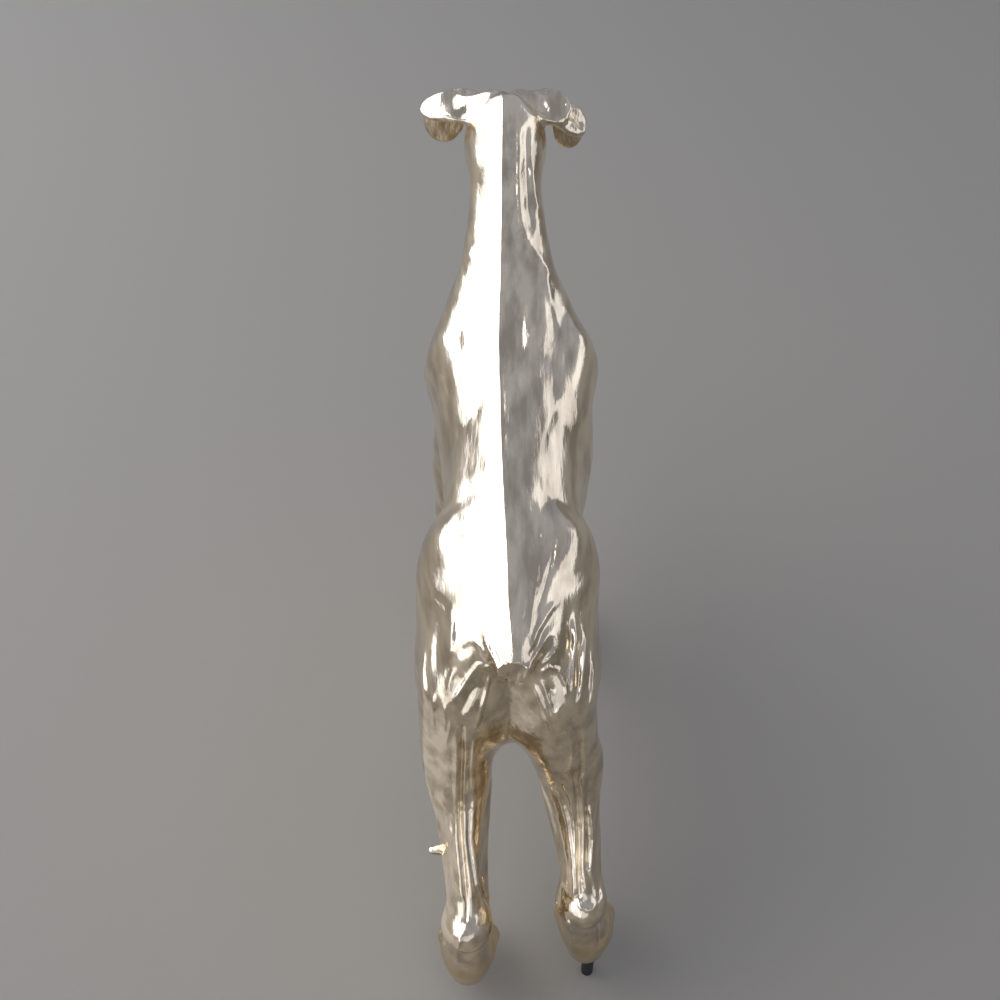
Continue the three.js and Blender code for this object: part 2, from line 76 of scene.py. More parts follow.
# Shapes. Each is a function of arrays x, y, z that gives the depth below its skin, negative inside.
def lump(centre, radii, tilt=0.0, roll=0.0):
    """Ellipsoid, turned by tilt about X (front end up) and by roll about Y (outer end down)."""
    ct, st = np.cos(np.radians(tilt)), np.sin(np.radians(tilt))
    cr, sr = np.cos(np.radians(roll)), np.sin(np.radians(roll))
    rx, ry, rz = radii

    def depth(x, y, z):
        dy = (y - centre[1]) * ct + (z - centre[2]) * st
        dz = (z - centre[2]) * ct - (y - centre[1]) * st
        px = ((x - centre[0]) * cr - dz * sr) / rx
        pz = (dz * cr + (x - centre[0]) * sr) / rz
        py = dy / ry
        k0 = np.sqrt(px**2 + py**2 + pz**2)
        k1 = np.sqrt((px / rx) ** 2 + (py / ry) ** 2 + (pz / rz) ** 2)
        return k0 * (k0 - 1) / np.maximum(k1, 1e-6)

    return depth


def leaf(centre, radii, thickness, tilt, roll):
    """Elliptic leaf of even thickness with a round rim, turned as a lump is."""
    ct, st = np.cos(np.radians(tilt)), np.sin(np.radians(tilt))
    cr, sr = np.cos(np.radians(roll)), np.sin(np.radians(roll))
    flat = lump((0, 0, 0), (radii[0], radii[1], 1e3))

    def depth(x, y, z):
        dx, dy, dz = x - centre[0], y - centre[1], z - centre[2]
        up = dz * ct - dy * st
        rim = flat(dx * cr - up * sr, dy * ct + dz * st, 0 * x)
        return np.hypot(np.maximum(rim, 0), up * cr + dx * sr) - thickness / 2

    return depth


def limb(a, b, ra, rb, wide=1.0):
    """Tapered round limb from a to b, its width across X multiplied by wide."""
    a = np.array([a[0] / wide, a[1], a[2]])
    b = np.array([b[0] / wide, b[1], b[2]]) - a
    l2 = b @ b
    rr = ra - rb
    a2 = l2 - rr * rr
    scale = min(1, wide)

    def depth(x, y, z):
        px, py, pz = x / wide - a[0], y - a[1], z - a[2]
        along = px * b[0] + py * b[1] + pz * b[2]
        over = along - l2
        q2 = (px * l2 - b[0] * along) ** 2 + (py * l2 - b[1] * along) ** 2 + (pz * l2 - b[2] * along) ** 2
        y2 = along * np.abs(along) * l2
        z2 = over * np.abs(over) * l2
        k = np.sign(rr) * rr * rr * q2
        beyond = np.sqrt(q2 + np.abs(z2)) / l2 - rb
        before = np.sqrt(q2 + np.abs(y2)) / l2 - ra
        beside = (np.sqrt(q2 * a2 / l2) + along * rr) / l2 - ra
        return scale * np.where(a2 * z2 > k, beyond, np.where(a2 * y2 < k, before, beside))

    return depth


def chain(stations, wide=1.0, steps=4):
    """Limb along a smooth curve through several stations (x, y, z, radius)."""
    s = np.array(stations, float)
    knots = np.vstack([2 * s[0] - s[1], s, 2 * s[-1] - s[-2]])
    course = []
    for before, a, b, after in zip(knots, knots[1:], knots[2:], knots[3:]):
        for t in np.arange(steps) / steps:
            line = a + t * (b - a)
            bend = t * (1 - t) * ((1 - t) * (2 * a - before - b) + t * (2 * b - a - after)) / 2
            course.append(line + bend)
    course.append(s[-1])
    parts = [limb(a[:3], b[:3], a[3], b[3], wide) for a, b in zip(course, course[1:])]
    return lambda x, y, z: np.minimum.reduce([part(x, y, z) for part in parts])


def meet(a, b, k):
    """Two depths run together over the width k."""
    h = np.maximum(k - np.abs(a - b), 0) / k
    return np.minimum(a, b) - h * h * k / 4


# Beyond this distance from its box a group of shapes no longer bears on the skin
MARGIN = 0.06


def blended(shapes, k, low, high):
    """Shapes run together over the width k; well outside the box low to high only the way to it counts."""

    def depth(x, y, z):
        outside = [np.maximum(np.maximum(lo - v, v - hi), 0) for lo, hi, v in zip(low, high, (x, y, z))]
        d = np.sqrt(sum(v * v for v in outside))
        close = d <= MARGIN
        if close.any():
            spot = x[close], y[close], z[close]
            near = np.ones(spot[0].shape)
            for shape in shapes:
                near = meet(near, shape(*spot), k)
            d[close] = near
        return d

    return depth


# Trunk and neck: one half is described and mirrored
trunk = blended(
    [
        lump((0, 0.105, 0.725), (0.147, 0.29, 0.232), -4),  # rib cage
        lump((0, 0.2, 0.57), (0.085, 0.17, 0.12)),  # brisket
        lump((0, 0.35, 0.68), (0.09, 0.08, 0.12)),  # forechest
        lump((0, -0.12, 0.815), (0.122, 0.22, 0.122)),  # loin
        lump((0, -0.2, 0.745), (0.112, 0.15, 0.095)),  # flank
        lump((0, -0.29, 0.805), (0.13, 0.175, 0.124), -10),  # croup
        lump((0.062, -0.425, 0.71), (0.052, 0.062, 0.14), -6),  # seat
        lump((0, -0.4, 0.69), (0.06, 0.06, 0.14), -6),  # under the tail
        lump((0.095, -0.25, 0.78), (0.066, 0.11, 0.115), 10),  # front of the hip
        lump((0.105, 0.27, 0.79), (0.068, 0.09, 0.19), 27),  # shoulder blade
        lump((0.076, 0.15, 0.8), (0.064, 0.13, 0.13)),  # behind the shoulder blade
        lump((0.075, 0.315, 0.86), (0.055, 0.1, 0.1), 30),  # root of the neck
        lump((0.035, 0.235, 0.96), (0.034, 0.08, 0.034)),  # withers
        lump((0.075, -0.265, 0.893), (0.035, 0.05, 0.028), -10),  # point of the hip
        chain(
            [
                (0, 0.27, 0.95, 0.044),
                (0, 0.03, 0.914, 0.04),
                (0, -0.2, 0.91, 0.038),
                (0, -0.42, 0.852, 0.034),
            ]
        ),  # backbone
        chain(
            [
                (0, 0.27, 0.83, 0.15),
                (0, 0.37, 0.94, 0.114),
                (0, 0.47, 1.045, 0.086),
                (0, 0.57, 1.145, 0.078),
            ],
            0.87,
        ),  # neck
    ],
    0.045,
    (0, -0.5, 0.44),
    (0.17, 0.65, 1.22),
)

# Head, in its own frame: x across, a forward along the muzzle, b up, from the poll
POLL = (0.6, 1.215)
HEAD_PITCH = np.radians(33)
skull = blended(
    [
        lump((0, 0.065, -0.06), (0.072, 0.105, 0.072)),
        lump((0, -0.012, -0.02), (0.03, 0.03, 0.028)),  # occiput
        lump((0.047, 0.08, -0.088), (0.037, 0.075, 0.06)),  # cheek
        lump((0.034, 0.15, -0.022), (0.024, 0.03, 0.02)),  # brow
        lump((0, 0.01, -0.115), (0.058, 0.075, 0.055)),  # throat
        limb((0, 0.14, -0.068), (0, 0.315, -0.076), 0.06, 0.043, 0.82),  # muzzle
        limb((0, 0.09, -0.13), (0, 0.3, -0.12), 0.042, 0.022),  # jaw
        lump((0.022, 0.25, -0.108), (0.02, 0.07, 0.024)),  # lip
        lump((0, 0.355, -0.058), (0.023, 0.018, 0.02)),  # nose
        lump((0.055, 0.152, -0.05), (0.012, 0.017, 0.013)),  # eye
    ],
    0.022,
    (0, -0.08, -0.19),
    (0.1, 0.38, 0.02),
)


def from_poll(y, z):
    """Place along and above the muzzle's line of points of the head."""
    dy, dz = y - POLL[0], z - POLL[1]
    along = dy * np.cos(HEAD_PITCH) - dz * np.sin(HEAD_PITCH)
    above = dy * np.sin(HEAD_PITCH) + dz * np.cos(HEAD_PITCH)
    return along, above


# Ears stand out sideways and fold over their front edge. The right one droops more.
EAR = 0.014
ears = blended(
    [
        limb((-0.03, 0.635, 1.192), (-0.08, 0.635, 1.188), 0.026, 0.013),
        leaf((-0.088, 0.636, 1.186), (0.045, 0.036), EAR, 16, 0),
        leaf((-0.124, 0.634, 1.182), (0.04, 0.024), EAR, 18, -8),
        leaf((-0.126, 0.658, 1.142), (0.034, 0.05), EAR, 98, 0),
        limb((0.03, 0.635, 1.192), (0.08, 0.635, 1.188), 0.026, 0.013),
        leaf((0.084, 0.634, 1.186), (0.042, 0.037), EAR, 16, 6),
        leaf((0.122, 0.636, 1.16), (0.048, 0.032), EAR, 16, 44),
        leaf((0.13, 0.664, 1.122), (0.026, 0.046), EAR, 96, 0),
    ],
    0.016,
    (-0.18, 0.58, 1.06),
    (0.18, 0.7, 1.23),
)

# Tail stub, cut off square
TAIL_CUT = -0.498
tail_rod = limb((0, -0.4, 0.866), (0.014, -0.53, 0.84), 0.034, 0.023)


def paw(x, y, splay):
    """Four toes forward of a heel pad at x, y; splay is the half width over the toes."""
    parts = [
        lump((x, y + 0.02, 0.034), (splay, 0.05, 0.04)),
        limb((x, y - 0.002, 0), (x, y - 0.002, 0.06), 0.038, 0.038),
    ]
    for t in (-1, -0.36, 0.36, 1):
        reach = 0.095 - 0.042 * t * t
        tip = x + t * splay
        parts.append(limb((x + t * splay * 0.6, y + 0.02, 0.05), (tip, y + reach, 0.021), 0.024, 0.0185))
        nail = (tip, y + reach + 0.014, 0.022), (tip, y + reach + 0.03, 0.01)
        parts.append(limb(*nail, 0.006, 0.004))
    return parts


def hind_leg(side, hip, inner, calf, hock, foot, back):
    """Hind leg whose joints stand out sideways by these shares, its paw set back."""
    h, n, c, k, p = (side * v for v in (hip, inner, calf, hock, foot))
    return [
        lump((n, -0.395, 0.575), (0.05, 0.06, 0.115), 8),  # inside of the thigh
        lump((c, -0.345, 0.475), (0.052, 0.09, 0.07), 20),  # hollow of the knee
        lump((h, -0.32, 0.63), (0.07, 0.135, 0.2), 24),  # thigh
        chain(
            [
                (h * 0.85, -0.43, 0.71, 0.066),
                (h * 0.92, -0.435, 0.58, 0.066),
                (c, -0.44 + back / 4, 0.47, 0.062),
                ((c + k) / 2, -0.505 + back / 2, 0.385, 0.036),
                (k, -0.612 + back, 0.26, 0.021),
            ]
        ),  # back of the thigh, running out as the heel tendon
        chain(
            [
                (h, -0.25, 0.49, 0.06),
                (c, -0.385 + back / 3, 0.4, 0.062),
                ((c + k) / 2, -0.465 + back / 2, 0.335, 0.049),
                (k, -0.54 + back, 0.275, 0.04),
                (k, -0.592 + back, 0.235, 0.042),
            ]
        ),  # lower thigh
        lump((k, -0.62 + back, 0.245), (0.028, 0.026, 0.032)),  # point of the hock
        chain(
            [
                (k, -0.592 + back, 0.235, 0.04),
                ((k + p) / 2, -0.59 + back, 0.13, 0.037),
                (p, -0.578 + back, 0.06, 0.041),
            ],
            1.12,
        ),  # cannon
        *paw(p, -0.575 + back, 0.044),
    ]


def fore_leg(side, out, ahead):
    """Fore leg, straight under the shoulder."""
    s = side * out
    w = side * (out - 0.01)
    return [
        limb((s, 0.345, 0.67), (s, 0.2, 0.54), 0.062, 0.05, 0.85),  # upper arm
        lump((s, 0.195, 0.62), (0.052, 0.085, 0.13), -16),  # triceps
        lump((s, 0.14, 0.49), (0.022, 0.026, 0.032)),  # elbow
        chain(
            [
                (s, 0.18, 0.49, 0.05),
                (w, 0.192 + ahead / 2, 0.32, 0.034),
                (w, 0.195 + ahead, 0.205, 0.033),
                (w, 0.205 + ahead, 0.06, 0.034),
            ]
        ),
        *paw(w, 0.21 + ahead, 0.042),
    ]


left_hind = hind_leg(-1, hip=0.096, inner=0.036, calf=0.088, hock=0.073, foot=0.075, back=-0.045)
right_hind = hind_leg(1, hip=0.102, inner=0.062, calf=0.118, hock=0.142, foot=0.163, back=0)
left_fore = fore_leg(-1, out=0.1, ahead=-0.02)
right_fore = fore_leg(1, out=0.118, ahead=0.02)
legs = [
    blended(left_hind, 0.022, (-0.19, -0.7, 0), (0.02, -0.16, 0.86)),
    blended(right_hind, 0.022, (0, -0.66, 0), (0.23, -0.16, 0.86)),
    blended(left_fore, 0.024, (-0.17, 0.08, 0), (-0.02, 0.43, 0.77)),
    blended(right_fore, 0.024, (0.04, 0.08, 0), (0.19, 0.43, 0.77)),
]
lug = limb((-0.1, -0.53, 0.31), (-0.139, -0.53, 0.315), 0.009, 0.007)  # casting lug on the left shin


# The mirrored halves run together over SEAM. The chest leans to the right by LEAN about LEAN_AT.
SEAM = 0.006
LEAN, LEAN_AT, LEAN_OVER = 0.02, 0.08, 0.24
# Widths over which the parts of the body run together
BODY_BLEND, TAIL_BLEND, EAR_BLEND, LUG_BLEND = 0.035, 0.026, 0.02, 0.006


def form(x, y, z):
    """The dog without its fine relief."""
    half = np.hypot(x, SEAM)
    chest = np.hypot(x - LEAN * np.exp(-(((y - LEAN_AT) / LEAN_OVER) ** 2)), SEAM)
    along, above = from_poll(y, z)
    d = meet(trunk(chest, y, z), skull(half, along, above), BODY_BLEND)
    d = meet(d, np.maximum(tail_rod(x, y, z), TAIL_CUT - y), TAIL_BLEND)
    d = meet(d, ears(x, y, z), EAR_BLEND)
    for leg in legs:
        d = meet(d, leg(x, y, z), BODY_BLEND)
    return meet(d, lug(x, y, z), LUG_BLEND)


# Relief. Heights are in shares too; a millimetre is MM.
MM = 0.001 / WITHERS


def smooth(v, low, high):
    """Rises from 0 at low to 1 at high."""
    t = np.clip((v - low) / (high - low), 0, 1)
    return t * t * (3 - 2 * t)


def pixels(x, y, z):
    """Where the photograph shows a point."""
    c, s = np.cos(np.radians(CAMERA_DOWN)), np.sin(np.radians(CAMERA_DOWN))
    dx, dy, dz = x - CAMERA[0], y - CAMERA[1], z - CAMERA[2]
    far = dy * c - dz * s
    return IMAGE / 2 + FOCAL_PIXELS * dx / far, IMAGE / 2 - FOCAL_PIXELS * (dy * s + dz * c) / far


# The back's middle line swings a little: shares across at these places along
SPINE_Y = (-0.5, -0.42, -0.35, -0.12, 0.14, 0.4, 0.6)
SPINE_X = (0.0126, 0.0032, 0.0011, -0.0084, -0.0138, -0.008, -0.006)
BACK_Y = (-0.5, 0.27, 0.37, 0.47, 0.57)
BACK_Z = (0.8, 0.84, 0.96, 1.07, 1.16)

# Ridges (height above zero) and furrows as the photograph shows them: course in pixels, half width in
# pixels, height in millimetres. Those of the trunk and of each leg stay on that part.
TRUNK_RIDGES = [
    ([(519, 122), (519, 190), (521, 220), (527, 240), (540, 256), (556, 282)], 2.8, 1.6),  # right nape
    ([(486, 122), (486, 190), (486, 225), (474, 248), (454, 272)], 4.5, 1.9),  # left nape
    ([(526, 120), (526, 170), (528, 208), (534, 234)], 3.4, -2.4),  # hollow of the nape
    ([(532, 160), (535, 190), (540, 218)], 2.8, 1.8),
    ([(545, 262), (549, 290), (556, 315), (562, 345), (560, 375)], 2.9, 0.8),  # right shoulder blade
    ([(563, 298), (568, 315)], 3.4, 0.7),
    ([(499, 258), (503, 275), (506, 296)], 2.6, 0.4),
    ([(512, 280), (516, 300), (513, 326)], 4.2, 0.3),
    ([(524, 268), (526, 295), (521, 330), (523, 360)], 3.9, -0.7),
    ([(535, 275), (533, 310), (538, 350)], 5.2, 0.5),
    ([(444, 300), (438, 318), (434, 340)], 3.4, 0.8),  # left shoulder
    ([(450, 345), (447, 375), (452, 410)], 3.9, -0.7),
    ([(441, 370), (440, 400), (446, 430)], 2.9, 0.6),
    ([(556, 350), (563, 375), (561, 395), (551, 418), (543, 440), (541, 462)], 4.5, 0.7),  # back muscle
    ([(541, 462), (545, 486), (556, 505), (568, 522)], 4.2, 0.7),
    ([(517, 325), (516, 370), (517, 425)], 8.0, -2.2),  # beside the middle line
    ([(516, 350), (514, 420), (518, 490)], 3.9, 0.3),
    ([(524, 380), (527, 440), (524, 500)], 3.9, -0.4),
    ([(462, 430), (458, 470), (452, 500)], 3.9, 0.5),
    ([(516, 470), (518, 560), (517, 615)], 2.6, -0.5),  # streaks of the croup
    ([(524, 480), (525, 560), (521, 625)], 2.6, 0.4),
    ([(533, 500), (533, 560), (528, 615)], 2.6, -0.6),
    ([(545, 522), (541, 550), (536, 575), (533, 600), (529, 642)], 2.8, 0.8),
    ([(557, 528), (552, 560), (544, 590), (536, 614)], 2.8, -1.4),
    ([(554, 622), (543, 645), (531, 667), (517, 686)], 4.6, 3.2),  # fold from the tail to the right hip
    ([(560, 598), (547, 614), (537, 632), (531, 654)], 3.4, 2.0),
    ([(559, 648), (548, 660), (538, 669)], 2.6, 1.8),
    ([(551, 628), (562, 650), (567, 670)], 3.0, 1.6),
    ([(483, 638), (492, 656), (500, 674)], 2.2, 2.0),
    ([(425, 588), (436, 597), (447, 607), (452, 626)], 3.4, -0.9),  # under the left hip
    ([(476, 640), (464, 650), (458, 662)], 4.2, -2.2),
    ([(470, 638), (480, 646), (488, 660)], 2.4, 1.4),
    ([(505, 685), (512, 668)], 1.9, -0.9),  # saw marks on the end of the tail
    ([(513, 686), (520, 668)], 1.9, -0.9),
    ([(520, 683), (527, 667)], 1.9, -0.9),
]
LEFT_LEG_RIDGES = [
    ([(497, 676), (488, 668), (478, 666), (470, 676), (458, 694), (450, 706)], 3.0, 2.2),  # under the tail
    ([(480, 676), (470, 694), (456, 722)], 4.2, -2.8),  # hollow beside it
    ([(490, 672), (486, 694), (480, 716), (474, 734)], 2.2, 2.0),
    ([(456, 664), (450, 680), (447, 700)], 3.0, 1.6),
    ([(448, 600), (452, 622), (450, 650), (444, 668)], 3.5, 2.4),  # rear edge of the hip's flat
    ([(440, 600), (438, 640), (436, 680)], 5.0, -2.8),
    ([(424, 640), (422, 670), (424, 700)], 3.0, 2.0),
    ([(433, 690), (432, 715), (434, 738)], 2.6, 1.6),
    ([(443, 700), (445, 720), (443, 742)], 2.6, 1.8),
    ([(452, 715), (449, 732), (444, 748)], 2.4, 1.6),
    ([(436, 742), (438, 760), (442, 782)], 4.0, -2.2),
    ([(463, 722), (461, 775), (460, 820), (463, 860), (467, 905), (466, 925)], 1.9, -2.2),  # heel tendon
    ([(457, 735), (456, 790), (456, 840), (460, 880), (462, 905)], 2.3, 2.2),
    ([(467, 740), (465, 790), (465, 840), (470, 880), (473, 905)], 2.0, 1.7),
    ([(475, 735), (472, 770), (474, 800), (472, 840), (478, 885), (487, 912)], 2.1, 2.0),
    ([(436, 800), (443, 840), (452, 885)], 4.5, -2.4),  # flat of the shin
    ([(430, 780), (433, 820), (440, 860)], 3.0, 2.0),
    ([(450, 886), (449, 902), (453, 916)], 4.0, 1.8),  # hock
    ([(482, 866), (486, 888), (492, 908)], 2.6, 2.0),
    ([(474, 912), (476, 924), (478, 934)], 3.5, 2.0),
    ([(462, 930), (458, 950), (457, 974)], 2.6, 2.2),  # planes of the paw
    ([(441, 934), (446, 948), (451, 962)], 2.6, 2.0),
    ([(487, 938), (484, 958), (478, 972)], 2.6, -1.6),
    ([(470, 948), (476, 951)], 2.6, -1.6),
]
RIGHT_LEG_RIDGES = [
    ([(538, 676), (549, 667), (559, 671), (566, 686), (568, 704)], 2.4, 2.4),  # leaf-shaped fold
    ([(546, 678), (551, 688), (556, 702)], 3.6, -2.4),
    ([(539, 676), (545, 690), (550, 706), (556, 724)], 2.4, 2.0),
    ([(533, 680), (540, 700), (548, 720), (554, 736)], 2.6, 1.6),
    ([(561, 702), (557, 713), (557, 726)], 2.6, 2.0),
    ([(562, 722), (571, 735), (573, 750), (571, 772)], 2.0, 2.2),
    ([(574, 604), (577, 640), (574, 660), (573, 697)], 2.8, 2.4),  # folds down the outside
    ([(568, 610), (570, 640), (569, 657)], 2.4, -2.2),
    ([(582, 616), (586, 640), (584, 668), (579, 707)], 2.3, 2.0),
    ([(591, 638), (594, 672), (592, 700), (588, 717)], 2.4, 1.8),
    ([(579, 638), (578, 670), (577, 694)], 2.3, -1.8),
    ([(584, 723), (586, 760), (585, 802)], 2.4, 1.6),
    ([(596, 718), (597, 750), (596, 782)], 2.4, 1.4),
    ([(580, 733), (581, 765), (579, 792)], 2.4, -1.8),
    ([(552, 781), (560, 796), (567, 820), (571, 850), (573, 880), (573, 904)], 2.1, 2.4),  # heel tendon
    ([(562, 780), (571, 800), (574, 830), (576, 870), (577, 897)], 1.9, 1.9),
    ([(573, 768), (577, 800), (579, 840), (578, 880), (580, 902)], 1.9, -2.2),
    ([(582, 773), (584, 820), (583, 870), (587, 897)], 1.9, 1.7),
    ([(590, 804), (594, 840), (591, 870), (598, 902)], 2.0, 2.2),
    ([(586, 788), (588, 840), (587, 872)], 2.2, -1.6),
    ([(562, 876), (560, 890), (562, 906)], 3.6, 2.0),  # hock
    ([(576, 894), (581, 908), (592, 910), (599, 901)], 2.4, 2.4),
    ([(580, 899), (585, 907)], 2.6, -2.8),
    ([(600, 882), (603, 896), (601, 906)], 2.6, 1.8),
    ([(562, 914), (569, 925), (572, 940), (570, 957)], 2.4, 2.0),  # planes of the paw
    ([(597, 913), (598, 935), (600, 950)], 2.0, -2.0),
    ([(611, 910), (609, 930), (603, 950)], 2.6, 2.2),
]
EAR_RIDGES = [
    ([(472, 98), (458, 102), (442, 103)], 4.2, -1.3),
    ([(480, 116), (450, 113), (424, 112)], 2.2, 1.0),  # rear edge of the left ear
    ([(524, 116), (540, 116), (556, 122), (572, 128)], 4.2, 2.2),  # back of the right ear
    ([(536, 102), (548, 108), (562, 112)], 4.0, -2.0),
    ([(556, 98), (563, 104), (569, 113)], 2.6, -1.8),
    ([(561, 112), (573, 123), (585, 136)], 2.3, 1.8),  # folds of the right ear
    ([(566, 112), (576, 122), (584, 130)], 2.3, -1.6),
    ([(532, 92), (529, 104)], 3.6, -1.2),
]


# A ridge reaches sideways as far as REACH of its half widths, and fades in over FADE of them at its ends
REACH = 4
FADE = 5


def drawn(ridges, px, py):
    """Height of ridges at the pixels px, py."""
    height = np.zeros(px.shape)
    for course, width, rise in ridges:
        places = np.array(course, float)
        low, high = places.min(0) - REACH * width, places.max(0) + REACH * width
        near = (px > low[0]) & (px < high[0]) & (py > low[1]) & (py < high[1])
        if not near.any():
            continue
        qx, qy = px[near], py[near]
        away = np.full(qx.shape, np.inf)
        for (ax, ay), (bx, by) in zip(places, places[1:]):
            ux, uy = bx - ax, by - ay
            share = np.clip(((qx - ax) * ux + (qy - ay) * uy) / (ux * ux + uy * uy), 0, 1)
            away = np.minimum(away, (qx - ax - share * ux) ** 2 + (qy - ay - share * uy) ** 2)
        to_first = (qx - places[0, 0]) ** 2 + (qy - places[0, 1]) ** 2
        to_last = (qx - places[-1, 0]) ** 2 + (qy - places[-1, 1]) ** 2
        fade = smooth(np.sqrt(np.minimum(to_first, to_last)), 0, FADE * width)
        height[near] += rise * MM * fade * np.exp(-away / width**2)
    return height


# Unevenness left by the modeller's hands: waves as (turns per share along x, y and z, phase, height in mm)
WAVES = [
    (11.0, 3.1, 5.2, 0.3, 0.16),
    (-8.3, 4.7, 9.1, 1.9, 0.16),
    (15.7, -2.3, -7.9, 4.1, 0.1),
    (21.3, 5.9, 13.1, 2.6, 0.07),
    (-26.1, 7.3, 17.7, 5.2, 0.05),
]


def unevenness(x, y, z):
    """Height of the waves, each bent a little so that it doesn't repeat."""
    height = 0 * x
    for along_x, along_y, along_z, phase, rise in WAVES:
        turn = 2 * np.pi * (along_x * x + along_y * y + along_z * z) + phase
        height += rise * MM * np.sin(turn + 1.3 * np.sin(turn * 0.37 + 9 * y))
    return height


# Relief of the sides and head that the photograph doesn't show, plainer: courses and half widths in shares
SIDE_RIDGES = [
    ([(0.2, 0.93), (0.27, 0.8), (0.33, 0.67)], 0.0182, 1.1),  # ridge of the shoulder blade
    ([(0.1, 0.76), (0.17, 0.66), (0.27, 0.6)], 0.0156, -1.1),  # above the triceps
    ([(-0.2, 0.86), (-0.27, 0.72), (-0.3, 0.56)], 0.0156, -1.0),  # thigh grooves
    ([(-0.4, 0.76), (-0.39, 0.62), (-0.36, 0.5)], 0.0156, -0.9),
    ([(-0.2, 0.52), (-0.24, 0.47), (-0.34, 0.4)], 0.013, 0.8),  # knee
    ([(0.17, 0.45), (0.17, 0.34), (0.16, 0.24)], 0.0078, -0.8),  # tendon behind the foreleg
    ([(0.42, 0.86), (0.52, 0.98), (0.6, 1.08)], 0.0156, -0.8),  # groove of the throat
]
HEAD_RIDGES = [
    ([(0.375, -0.095), (0.33, -0.1), (0.26, -0.108), (0.2, -0.128), (0.165, -0.126)], 0.005, -1.8),  # mouth
    ([(0.3, -0.085), (0.25, -0.09), (0.2, -0.106)], 0.012, 1.0),  # upper lip
    ([(0.176, -0.064), (0.155, -0.068), (0.132, -0.06)], 0.0048, 1.1),  # lower lid
    ([(0.182, -0.056), (0.158, -0.034), (0.13, -0.05)], 0.0054, 1.6),  # upper lid
    ([(0.18, -0.05), (0.155, -0.026), (0.125, -0.044)], 0.0048, -1.0),
    ([(0.11, -0.1), (0.09, -0.06), (0.1, -0.03)], 0.0144, -1.0),  # before the cheek
]
NOSTRIL = (0.0125, 0.372, -0.058)
NOSTRIL_RADIUS = 0.0055
RIB_PITCH = 0.042


def hidden_relief(x, y, z):
    """Muscle grooves and ribs on the flanks, and the face."""
    outer = smooth(np.abs(x), 0.045, 0.075)
    height = outer * drawn(SIDE_RIDGES, y, z)
    ribs = smooth(0.12 - np.abs(y - 0.02), 0, 0.06) * smooth(0.1 - np.abs(z - 0.7), 0, 0.05)
    height += 0.35 * MM * outer * ribs * np.sin(2 * np.pi * (y + 0.35 * z) / RIB_PITCH)
    along, above = from_poll(y, z)
    face = smooth(along, 0.08, 0.12)
    if (face > 0).any():
        height += face * drawn(HEAD_RIDGES, along, above)
        pit = (np.abs(x) - NOSTRIL[0]) ** 2 + (along - NOSTRIL[1]) ** 2 + (above - NOSTRIL[2]) ** 2
        height -= 2.2 * MM * np.exp(-pit / NOSTRIL_RADIUS**2)
        height -= 1.2 * MM * smooth(along, 0.345, 0.36) * np.exp(-((x / 0.0025) ** 2))
    return height


# Relief below this height isn't worth asking which way the skin faces
FAINT = 1e-5


def seen_relief(x, y, z):
    """Relief read off the photograph, on the skin that faces its camera."""
    px, py = pixels(x, y, z)
    rear = smooth(-y, 0.36, 0.42)
    body = smooth(z, 0.6, 0.66)
    height = body * drawn(TRUNK_RIDGES, px, py)
    height += smooth(z, 1.1, 1.12) * smooth(np.abs(x), 0.02, 0.04) * drawn(EAR_RIDGES, px, py)
    height += rear * smooth(-x, -0.03, 0.0) * drawn(LEFT_LEG_RIDGES, px, py)
    height += rear * smooth(x, 0.0, 0.03) * drawn(RIGHT_LEG_RIDGES, px, py)
    spot = np.abs(height) > FAINT
    if spot.any():
        step = 2 * MM
        view = np.array([CAMERA[0] - x[spot], CAMERA[1] - y[spot], CAMERA[2] - z[spot]])
        view *= step / np.sqrt((view**2).sum(0))
        at = x[spot], y[spot], z[spot]
        facing = (form(at[0] + view[0], at[1] + view[1], at[2] + view[2]) - form(*at)) / step
        height[spot] *= smooth(facing, 0.0, 0.3)
    return height


# The roof of the back: its rise everywhere, the rise added over the shoulders, and its width
ROOF_RISE, SHOULDER_RISE, ROOF_WIDTH = 0.0042, 0.0045, 0.034
BEAD_RISE, BEAD_WIDTH = 1.1 * MM, 0.0032


def spine_relief(x, y, z):
    """The back rises like a low roof to its middle line, which stands up as a thin bead."""
    across = np.abs(x - np.interp(y, SPINE_Y, SPINE_X))
    upper = smooth(z - np.interp(y, BACK_Y, BACK_Z), 0.0, 0.05)
    top = upper * smooth(y, -0.5, -0.44) * smooth(-y, -0.64, -0.6)
    rise = ROOF_RISE + SHOULDER_RISE * np.exp(-(((y - 0.1) / 0.2) ** 2))
    roof = rise * np.exp(-across / ROOF_WIDTH)
    bead = BEAD_RISE * np.exp(-((across / BEAD_WIDTH) ** 2))
    return top * (roof + bead)


def skin(x, y, z):
    """Depth below the finished skin."""
    d = form(x, y, z)
    near = np.abs(d) < 0.02
    if near.any():
        at = x[near], y[near], z[near]
        d[near] -= seen_relief(*at) + spine_relief(*at) + hidden_relief(*at) + unevenness(*at)
    for sx, sy in STUDS.values():
        bore = STUD_BORE / 2 / WITHERS - np.hypot(x - sx, y - sy)
        d = np.maximum(d, np.minimum(bore, STUD_SUNK / WITHERS + CLEARANCE / WITHERS - z))
    return np.maximum(d, -z)


# The net of the skin. Its grid is finest across, since the folds run lengthwise.
COARSE = 1.0
GRID = (COARSE * 0.0012 / WITHERS, COARSE * 0.0027 / WITHERS, COARSE * 0.0027 / WITHERS)
NET_LOW = (-0.22, -0.73, -0.02)
NET_HIGH = (0.235, 0.98, 1.3)
MOST_TRIANGLES = 190000
CHUNK = 200000
BLOCK = 8


